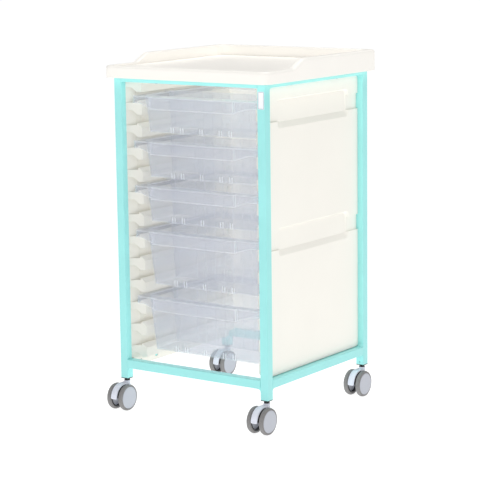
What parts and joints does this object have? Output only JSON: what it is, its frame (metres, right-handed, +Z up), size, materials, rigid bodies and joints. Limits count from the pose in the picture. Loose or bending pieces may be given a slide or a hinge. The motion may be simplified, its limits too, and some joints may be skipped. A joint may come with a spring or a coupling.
{
  "type": "classroom tray storage unit",
  "caption": "Mobile tray storage trolley: welded tube frame, moulded top with raised gallery, ribbed runner liners, pull-out trays with dividers and twin-wheel swivel castors.",
  "frame": {"origin": "on the floor under the centre of the tube frame", "axes": "+Z up, +X to the unit's right-hand side, -Y to the front where the trays pull out"},
  "size_m": [0.554, 0.5932, 1.009],
  "materials": {
    "frame_paint": "aqua powder coat, semi-gloss",
    "worktop": "off-white moulded plastic, fine satin texture",
    "panel": "off-white moulded plastic, satin",
    "liner": "off-white moulded plastic, satin",
    "tray": "translucent grey-blue plastic, frosted",
    "castor_housing": "pale grey moulded plastic",
    "wheel_cap": "grey moulded plastic, satin",
    "tyre": "mid-grey soft tread",
    "plug": "black moulded plastic",
    "stem": "black steel",
    "steel": "zinc plated"
  },
  "bodies": {
    "unit": {"post_front_left": "frame_paint", "post_front_right": "frame_paint", "post_rear_left": "frame_paint", "post_rear_right": "frame_paint", "lower_rail_front": "frame_paint", "lower_rail_rear": "frame_paint", "lower_rail_left": "frame_paint", "lower_rail_right": "frame_paint", "upper_rail_front": "frame_paint", "upper_rail_rear": "frame_paint", "upper_rail_left": "frame_paint", "upper_rail_right": "frame_paint", "worktop": "worktop", "side_panel_left": "panel", "side_panel_right": "panel", "runner_liner_left": "liner", "runner_liner_right": "liner", "back_panel": "panel", "castor_plugs": "plug", "castor_stems": "stem", "worktop_screws": "steel", "liner_screws": "steel", "side_panel_screws": "steel", "back_panel_screws": "steel"},
    "tray_1": {"tray_1": "tray", "tray_divider_1": "tray"},
    "tray_2": {"tray_2": "tray", "tray_divider_2": "tray"},
    "tray_3": {"tray_3": "tray", "tray_divider_3": "tray"},
    "tray_4": {"tray_4": "tray", "tray_divider_4": "tray"},
    "tray_5": {"tray_5": "tray", "tray_divider_5": "tray"},
    "castor_front_left": {"castor_housing_front_left": "castor_housing", "castor_axle_front_left": "steel"},
    "wheel_front_left_left": {"wheel_front_left_left": "wheel_cap", "tyre_front_left_left": "tyre"},
    "wheel_front_left_right": {"wheel_front_left_right": "wheel_cap", "tyre_front_left_right": "tyre"},
    "castor_front_right": {"castor_housing_front_right": "castor_housing", "castor_axle_front_right": "steel"},
    "wheel_front_right_left": {"wheel_front_right_left": "wheel_cap", "tyre_front_right_left": "tyre"},
    "wheel_front_right_right": {"wheel_front_right_right": "wheel_cap", "tyre_front_right_right": "tyre"},
    "castor_rear_left": {"castor_housing_rear_left": "castor_housing", "castor_axle_rear_left": "steel"},
    "wheel_rear_left_left": {"wheel_rear_left_left": "wheel_cap", "tyre_rear_left_left": "tyre"},
    "wheel_rear_left_right": {"wheel_rear_left_right": "wheel_cap", "tyre_rear_left_right": "tyre"},
    "castor_rear_right": {"castor_housing_rear_right": "castor_housing", "castor_axle_rear_right": "steel"},
    "wheel_rear_right_left": {"wheel_rear_right_left": "wheel_cap", "tyre_rear_right_left": "tyre"},
    "wheel_rear_right_right": {"wheel_rear_right_right": "wheel_cap", "tyre_rear_right_right": "tyre"}
  },
  "joints": [
    {"name": "tray_1_slide", "type": "slide", "parent": "unit", "child": "tray_1", "axis": [0, -1, 0], "range_m": [0, 0.3]},
    {"name": "tray_2_slide", "type": "slide", "parent": "unit", "child": "tray_2", "axis": [0, -1, 0], "range_m": [0, 0.3]},
    {"name": "tray_3_slide", "type": "slide", "parent": "unit", "child": "tray_3", "axis": [0, -1, 0], "range_m": [0, 0.3]},
    {"name": "tray_4_slide", "type": "slide", "parent": "unit", "child": "tray_4", "axis": [0, -1, 0], "range_m": [0, 0.3]},
    {"name": "tray_5_slide", "type": "slide", "parent": "unit", "child": "tray_5", "axis": [0, -1, 0], "range_m": [0, 0.3]},
    {"name": "castor_front_left_swivel", "type": "hinge", "parent": "unit", "child": "castor_front_left", "pos_m": [-0.2425, -0.2475, 0], "axis": [0, 0, 1], "continuous": true},
    {"name": "wheel_front_left_left_spin", "type": "hinge", "parent": "castor_front_left", "child": "wheel_front_left_left", "pos_m": [-0.2425, -0.2725, 0.0375], "axis": [1, 0, 0], "continuous": true},
    {"name": "wheel_front_left_right_spin", "type": "hinge", "parent": "castor_front_left", "child": "wheel_front_left_right", "pos_m": [-0.2425, -0.2725, 0.0375], "axis": [1, 0, 0], "continuous": true},
    {"name": "castor_front_right_swivel", "type": "hinge", "parent": "unit", "child": "castor_front_right", "pos_m": [0.2425, -0.2475, 0], "axis": [0, 0, 1], "continuous": true},
    {"name": "wheel_front_right_left_spin", "type": "hinge", "parent": "castor_front_right", "child": "wheel_front_right_left", "pos_m": [0.2425, -0.2725, 0.0375], "axis": [1, 0, 0], "continuous": true},
    {"name": "wheel_front_right_right_spin", "type": "hinge", "parent": "castor_front_right", "child": "wheel_front_right_right", "pos_m": [0.2425, -0.2725, 0.0375], "axis": [1, 0, 0], "continuous": true},
    {"name": "castor_rear_left_swivel", "type": "hinge", "parent": "unit", "child": "castor_rear_left", "pos_m": [-0.2425, 0.2475, 0], "axis": [0, 0, 1], "continuous": true},
    {"name": "wheel_rear_left_left_spin", "type": "hinge", "parent": "castor_rear_left", "child": "wheel_rear_left_left", "pos_m": [-0.2425, 0.2225, 0.0375], "axis": [1, 0, 0], "continuous": true},
    {"name": "wheel_rear_left_right_spin", "type": "hinge", "parent": "castor_rear_left", "child": "wheel_rear_left_right", "pos_m": [-0.2425, 0.2225, 0.0375], "axis": [1, 0, 0], "continuous": true},
    {"name": "castor_rear_right_swivel", "type": "hinge", "parent": "unit", "child": "castor_rear_right", "pos_m": [0.2425, 0.2475, 0], "axis": [0, 0, 1], "continuous": true},
    {"name": "wheel_rear_right_left_spin", "type": "hinge", "parent": "castor_rear_right", "child": "wheel_rear_right_left", "pos_m": [0.2425, 0.2225, 0.0375], "axis": [1, 0, 0], "continuous": true},
    {"name": "wheel_rear_right_right_spin", "type": "hinge", "parent": "castor_rear_right", "child": "wheel_rear_right_right", "pos_m": [0.2425, 0.2225, 0.0375], "axis": [1, 0, 0], "continuous": true}
  ]
}
